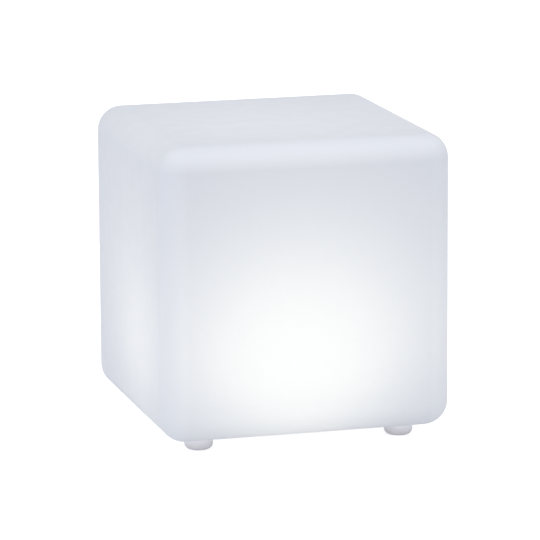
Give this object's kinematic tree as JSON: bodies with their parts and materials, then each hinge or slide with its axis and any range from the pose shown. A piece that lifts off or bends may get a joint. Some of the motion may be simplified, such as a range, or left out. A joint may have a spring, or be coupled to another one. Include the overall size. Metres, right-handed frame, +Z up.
{
  "type": "led cube light",
  "caption": "Hollow translucent cube lamp with rounded edges on short round rubber feet, lit from inside, with a screwed base cover, push button and hinged charging-port flap below.",
  "frame": {"origin": "on the floor under the middle of the cube", "axes": "+Z up, the front of the lamp faces -Y, +X to the right seen from the front"},
  "size_m": [0.2, 0.2, 0.209],
  "materials": {
    "shell_translucent_white": "satin translucent, lit from inside",
    "foot_rubber_grey": "matte",
    "base_plastic_white": "fine matte grain",
    "lid_plastic_white": "matte",
    "seal_silicone": "satin",
    "screw_steel": "satin",
    "insert_brass": "turned",
    "vent_membrane": "matte",
    "part_black": "matte",
    "socket_steel": "satin",
    "board_laminate": "semi-gloss",
    "inductor_ferrite": "matte",
    "can_aluminium": "satin",
    "connector_ivory": "satin",
    "indicator_clear": "clear",
    "battery_wrap": "glossy",
    "foam_grey": "open cell",
    "strap_steel": "brushed",
    "wire_red": "satin",
    "wire_black": "satin",
    "thermal_pad_grey": "matte",
    "led_board_aluminium": "white enamelled",
    "led_phosphor": "satin",
    "diffuser_frosted": "frosted",
    "button_grey": "satin",
    "flap_rubber_grey": "matte"
  },
  "bodies": {
    "lamp": {"cube_shell": "shell_translucent_white", "foot_front_left": "foot_rubber_grey", "foot_front_right": "foot_rubber_grey", "foot_back_left": "foot_rubber_grey", "foot_back_right": "foot_rubber_grey", "foot_washers": "screw_steel", "foot_screws": "screw_steel", "foot_inserts": "insert_brass", "base_cover": "base_plastic_white", "seat_gasket": "seal_silicone", "base_screws": "screw_steel", "seat_inserts": "insert_brass", "breather_vent": "vent_membrane", "tact_switch": "part_black", "charge_socket": "socket_steel", "charge_socket_tongue": "part_black", "control_board": "board_laminate", "board_screws": "screw_steel", "board_chips": "part_black", "power_inductor": "inductor_ferrite", "board_capacitors": "can_aluminium", "battery_connector": "connector_ivory", "indicator_led": "indicator_clear", "light_pipe": "indicator_clear", "battery_cell": "battery_wrap", "battery_pad": "foam_grey", "battery_strap": "strap_steel", "strap_screws": "screw_steel", "battery_lead_red": "wire_red", "battery_lead_black": "wire_black", "module_lid": "lid_plastic_white", "lid_seal": "seal_silicone", "lid_screws": "screw_steel", "thermal_pad": "thermal_pad_grey", "led_board": "led_board_aluminium", "led_packages": "led_phosphor", "led_board_screws": "screw_steel", "light_diffuser": "diffuser_frosted", "diffuser_ring": "lid_plastic_white", "led_lead_red": "wire_red", "led_lead_black": "wire_black"},
    "button": {"power_button": "button_grey", "button_oring": "seal_silicone", "switch_plunger": "part_black"},
    "port_flap": {"port_cover": "flap_rubber_grey"}
  },
  "joints": [
    {"name": "power_button_press", "type": "slide", "parent": "lamp", "child": "button", "axis": [0, 0, 1], "range_m": [0, 0.0006], "stiffness_N_per_m": 2500},
    {"name": "port_flap_hinge", "type": "hinge", "parent": "lamp", "child": "port_flap", "pos_m": [0.016, -0.0276, 0.01095], "axis": [1, 0, 0], "range_deg": [0, 95]}
  ]
}
